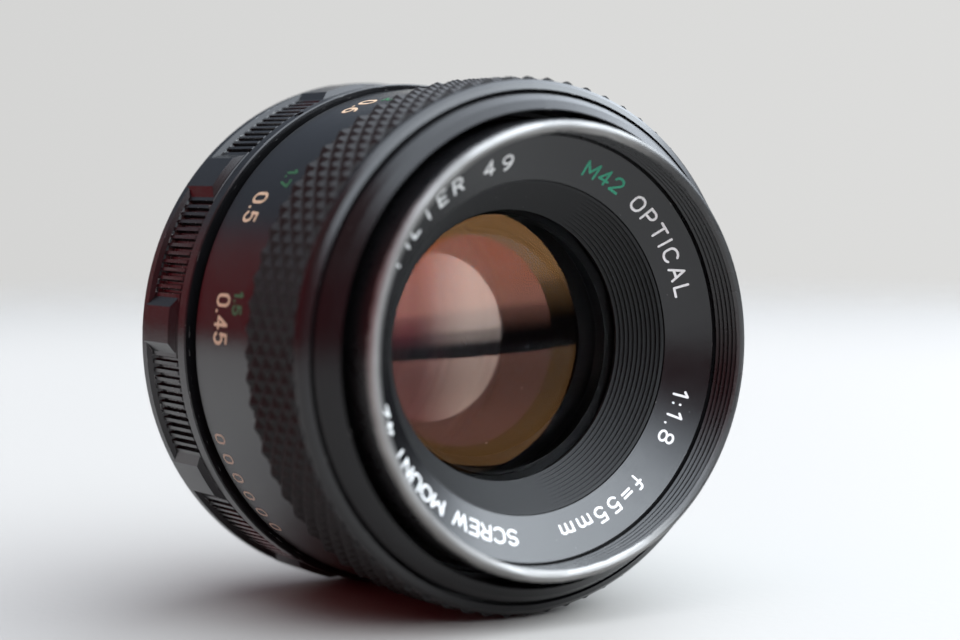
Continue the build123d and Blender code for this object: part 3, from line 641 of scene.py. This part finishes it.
class Lettering:
    """Painted engraving on a surface: collects round-ended strokes as closed prisms.

    surface(x, y, lift) gives the frame point for x along a line, y up it and lift off the surface."""

    def __init__(self, surface):
        self.surface = surface
        self.points = []
        self.faces = []
        self.strokes = 0

    def segment(self, start, end, half):
        """One straight stroke; each is a hair higher than the last, so that none are coplanar."""
        angle = math.atan2(end[1] - start[1], end[0] - start[0])
        outline = []
        for centre, first in ((end, angle - math.pi / 2), (start, angle + math.pi / 2)):
            for step in range(CAP_POINTS):
                turn = first + math.pi * step / (CAP_POINTS - 1)
                outline.append((centre[0] + half * math.cos(turn), centre[1] + half * math.sin(turn)))
        lift = PAINT_RISE + 0.0004 * (self.strokes % 12)
        self.strokes += 1
        base, count = len(self.points), len(outline)
        for height in (lift, -PAINT_SINK):
            self.points += [self.surface(x, y, height) for x, y in outline]
        self.faces.append(tuple(range(base, base + count)))
        self.faces.append(tuple(reversed(range(base + count, base + 2 * count))))
        for index in range(count):
            other = (index + 1) % count
            self.faces.append((base + index, base + count + index, base + count + other, base + other))

    def text(self, words, x, y, height, width, pitch=0.3, narrow=1.0):
        """Words centred on x with their foot at y. pitch is the gap between letters, in heights."""
        scale = height * narrow
        total = sum(GLYPHS[letter][0] + pitch for letter in words) - pitch
        cursor = x - total * scale / 2
        for letter in words:
            advance, strokes = GLYPHS[letter]
            for stroke in strokes:
                path = [(cursor + px * scale, y + py * height) for px, py in stroke]
                for start, end in zip(path, path[1:]):
                    self.segment(start, end, width / 2)
            cursor += (advance + pitch) * scale

    def piece(self, name, look, body):
        piece(name, self.points, self.faces, look, body)


# Data ring words: radius of the foot, height, widening, and the radius that the spans are taken at.
WORDS_FOOT, WORDS_HEIGHT, WORDS_STRETCH, WORDS_MIDDLE = 20.45, 1.7, 1.25, 21.4
WORDS_LEAD = 21.75                              # radius that x is laid out at


def on_data_ring(clock):
    """Text around the data ring, tops outward, reading clockwise from the front."""
    slope = math.atan2(NAME_REAR - NAME_FRONT, NAME_OUTER - NAME_INNER)

    def surface(x, y, lift):
        radius = WORDS_FOOT + y * math.cos(slope) - lift * math.sin(slope)
        depth = name_depth(WORDS_FOOT) - y * math.sin(slope) - lift * math.cos(slope)
        return at(radius, depth, clock + math.degrees(x / WORDS_LEAD))

    return surface


def on_cylinder(radius, foot_depth):
    """Text around a barrel, tops to the front. x runs towards smaller clock angles."""

    def surface(x, y, lift):
        return at(radius + lift, foot_depth - y, -math.degrees(x / radius))

    return surface


def along(radius, clock):
    """x on a cylinder for a clock angle."""
    return -math.radians(clock) * radius


def data_ring_words():
    """Each wording with its middle and span as clock angles."""
    words = (
        ("M42", 25.0, 15.0, "green"),
        ("OPTICAL", 57.0, 37.0, "white"),
        ("1:1.8", 114.5, 17.5, "white"),
        ("f=55mm", 154.5, 34.0, "white"),
        ("SCREW MOUNT 42", -138.5, 68.0, "white"),
        ("FILTER 49", -36.0, 53.0, "white"),
    )
    looks = {"green": paint("paint_green", GREEN), "white": paint("paint_white", WHITE)}
    for index, (letters, clock, span, colour) in enumerate(words):
        length = math.radians(span) * WORDS_MIDDLE / (WORDS_HEIGHT * WORDS_STRETCH)
        pitch = (length - sum(GLYPHS[letter][0] for letter in letters)) / (len(letters) - 1)
        made = Lettering(on_data_ring(clock))
        made.text(letters, 0, 0, height=WORDS_HEIGHT, width=0.29, pitch=pitch, narrow=WORDS_STRETCH)
        made.piece(f"data_ring_engraving_{index + 1}", looks[colour], "front_group")


# Each number of a scale with its travel of the front group.
DISTANCES = (("0.45", 9.15), ("0.5", 7.92), ("0.6", 6.25), ("0.7", 5.17), ("0.8", 4.4), ("1", 3.4),
             ("1.2", 2.82), ("1.5", 2.2), ("2", 1.6), ("3", 1.05), ("5", 0.62), ("∞", 0.0))
FEET = (("1.5", 8.97), ("1.7", 7.55), ("2", 6.06), ("2.5", 4.6), ("3", 3.72), ("4", 2.7), ("5", 2.12),
        ("7", 1.48), ("10", 1.02))


def distance_scale():
    """Metres in cream, feet in green nearer the grip, and a row of small digits behind."""
    metres = Lettering(on_cylinder(BAND_RADIUS, foot_depth=27.0))
    for number, travel in DISTANCES:
        x = along(BAND_RADIUS, INDEX - FOCUS_RATE * travel)
        metres.text(number, x, 0, height=2.75, width=0.38, narrow=0.70)
    metres.piece("distance_scale_metres", paint("paint_cream", CREAM), "focus_ring_group")
    feet = Lettering(on_cylinder(BAND_RADIUS, foot_depth=23.1))
    for number, travel in FEET:
        x = along(BAND_RADIUS, INDEX - FOCUS_RATE * travel)
        feet.text(number, x, 0, height=1.8, width=0.3, narrow=0.85)
    feet.piece("distance_scale_feet", paint("paint_scale_green", DARK_GREEN), "focus_ring_group")
    serial = Lettering(on_cylinder(BAND_RADIUS, foot_depth=30.5))
    for digit in range(6):
        x = along(BAND_RADIUS, -111.0 - 5.0 * digit)
        serial.text("0", x, 0, height=2.0, width=0.24, narrow=0.85)
    serial.piece("distance_scale_small_digits", paint("paint_beige", BEIGE), "focus_ring_group")


# Each f-number with its turn of the aperture ring.
STOPS = (("1.8", 0), ("2.8", 10), ("4", 18), ("5.6", 26), ("8", 34), ("11", 42), ("16", 50))


def aperture_numbers():
    """White f-numbers, each with its tick."""
    made = Lettering(on_cylinder(RING_RADIUS, foot_depth=39.4))
    for number, turn in STOPS:
        x = along(RING_RADIUS, INDEX - turn)
        made.text(number, x, 0, height=2.3, width=0.36, pitch=0.28, narrow=0.9)
        made.segment((x, 2.9), (x, 3.5), 0.12)
    made.piece("aperture_numbers", paint("paint_white_ring", WHITE), "aperture_ring_group")


def index_marks():
    """Red index line and the depth of field lines beside it."""
    red = Lettering(on_cylinder(INDEX_RADIUS, foot_depth=34.7))
    x = along(INDEX_RADIUS, INDEX)
    red.segment((x, 0.2), (x, 1.3), 0.22)
    red.piece("index_mark", paint("paint_red", RED), "fixed_barrel")
    white = Lettering(on_cylinder(INDEX_RADIUS, foot_depth=34.7))
    for turn in (4, 8, 12, 17, 24):
        for side in (-turn, turn):
            x = along(INDEX_RADIUS, INDEX + side)
            white.segment((x, 0.35), (x, 1.2), 0.1)
    white.piece("depth_of_field_marks", paint("paint_white_marks", WHITE), "fixed_barrel")


data_ring_words()
distance_scale()
aperture_numbers()
index_marks()


# ---- camera and light ---------------------------------------------------------------------------
CAMERA_PLACE = Vector((-147.98, -203.17, 19.74)) * MM + Vector((0, RIM, 0))
CAMERA_FORWARD = Vector((0.5556, 0.8290, -0.0643))
FOCUS_POINT = Vector((0, (CAD_BOX[0].y + CAD_BOX[1].y) / 2 - 7.5 * MM, 0))
WINDOW_PLACE = Vector((0.55, -0.15, 0.45))      # middle of the broad light
TABLE_RADIUS = 0.66


def camera():
    data = bpy.data.cameras.new("camera")
    data.lens = 86.25
    data.sensor_width = 36.0
    data.clip_start = 0.01
    made = bpy.data.objects.new("camera", data)
    made.location = CAMERA_PLACE
    made.rotation_mode = "QUATERNION"
    made.rotation_quaternion = CAMERA_FORWARD.to_track_quat("-Z", "Y")
    bpy.context.scene.collection.objects.link(made)
    bpy.context.scene.camera = made
    focus = bpy.data.objects.new("focus_point", None)
    focus.location = FOCUS_POINT
    bpy.context.scene.collection.objects.link(focus)
    data.dof.use_dof = True
    data.dof.focus_object = focus
    data.dof.aperture_fstop = 11.0


camera()


# ---- studio -------------------------------------------------------------------------------------
def table():
    """Round pale table top, with painted shade that darkens it towards its far edge."""
    count = 128
    turns = [step * 2 * math.pi / count for step in range(count)]
    points = [(TABLE_RADIUS * math.cos(turn), TABLE_RADIUS * math.sin(turn), GROUND) for turn in turns]
    mesh = bpy.data.meshes.new("table")
    mesh.from_pydata(points, [], [tuple(range(count))])
    made = bpy.data.objects.new("table", mesh)
    bpy.context.scene.collection.objects.link(made)
    look, g = material("table_white")
    place = g.node("TexCoord").outputs["Object"]
    x, y, z = g.split(place)
    # Painted shade: the colour darkens with distance from the middle, for light falling off towards the far
    # edge.
    tone = g.mix(g.ramp(g.hypot(x, y), 0.3, 0.75), (0.352, 0.339, 0.316), (0.253, 0.244, 0.226))
    grain = g.noise(place, 900.0, 2.0)
    g.finish(g.principled(tone, 0.55, normal=g.bump(grain, 0.03)))
    mesh.materials.append(look)


def studio():
    """Soft window light from above and behind the camera, a reddish left side, a dark horizon, and a
    plain backdrop that only the camera sees."""
    world = bpy.data.worlds.new("studio")
    world.use_nodes = True
    bpy.context.scene.world = world
    g = Graph(world.node_tree)
    x, y, z = g.split(g.node("TexCoord").outputs["Generated"])

    dark = (0.010, 0.008, 0.008)
    window = g.mix(g.ramp(z, 0.13, 0.45), dark, (3.8, 4.15, 4.6))
    facing = g.math("MULTIPLY", g.math("SUBTRACT", x, y), 0.707)
    pane = g.math("MULTIPLY", g.ramp(facing, 0.48, 0.62), g.ramp(z, 0.36, 0.46))
    pane = g.math("MULTIPLY", pane, g.ramp(z, 0.82, 0.72))
    window = g.mix(pane, window, (7.8, 8.5, 9.2))
    far_side = g.mix(g.ramp(z, 0.12, 0.38), (0.62, 0.62, 0.62), (0.18, 0.21, 0.26))
    front = g.ramp(g.math("SUBTRACT", g.math("MULTIPLY", x, 0.45), y), -0.45, -0.1)
    sky = g.mix(front, far_side, window)
    sky = g.mix(g.ramp(x, -0.3, -0.6), sky, (0.40, 0.16, 0.16))
    maroon = g.math("MULTIPLY", g.ramp(x, -0.28, -0.36), g.ramp(z, 0.44, 0.36))
    sky = g.mix(maroon, sky, (0.42, 0.03, 0.045))
    sky = g.mix(g.ramp(z, 0.0, -0.06), sky, dark)

    backdrop = g.mix(g.ramp(x, -0.2, 1.2), (0.61, 0.61, 0.605), (0.76, 0.76, 0.75))
    seen = g.node("LightPath").outputs["Is Camera Ray"]
    light = g.node("Background")
    g.feed(light.inputs[0], g.mix(seen, sky, backdrop))
    target = g.node("OutputWorld")
    world.node_tree.links.new(light.outputs[0], target.inputs["Surface"])


def window_light():
    """Broad soft light from the right, left out of mirror reflections."""
    data = bpy.data.lights.new("window_right", "AREA")
    data.shape = "DISK"
    data.size = 0.6
    data.energy = 1.0
    data.color = (1.0, 0.99, 0.97)
    made = bpy.data.objects.new("window_right", data)
    made.location = WINDOW_PLACE
    made.rotation_mode = "QUATERNION"
    made.rotation_quaternion = (-WINDOW_PLACE).to_track_quat("-Z", "Y")
    made.visible_glossy = False
    bpy.context.scene.collection.objects.link(made)


table()
studio()
window_light()
bpy.context.scene.view_settings.view_transform = "Standard"
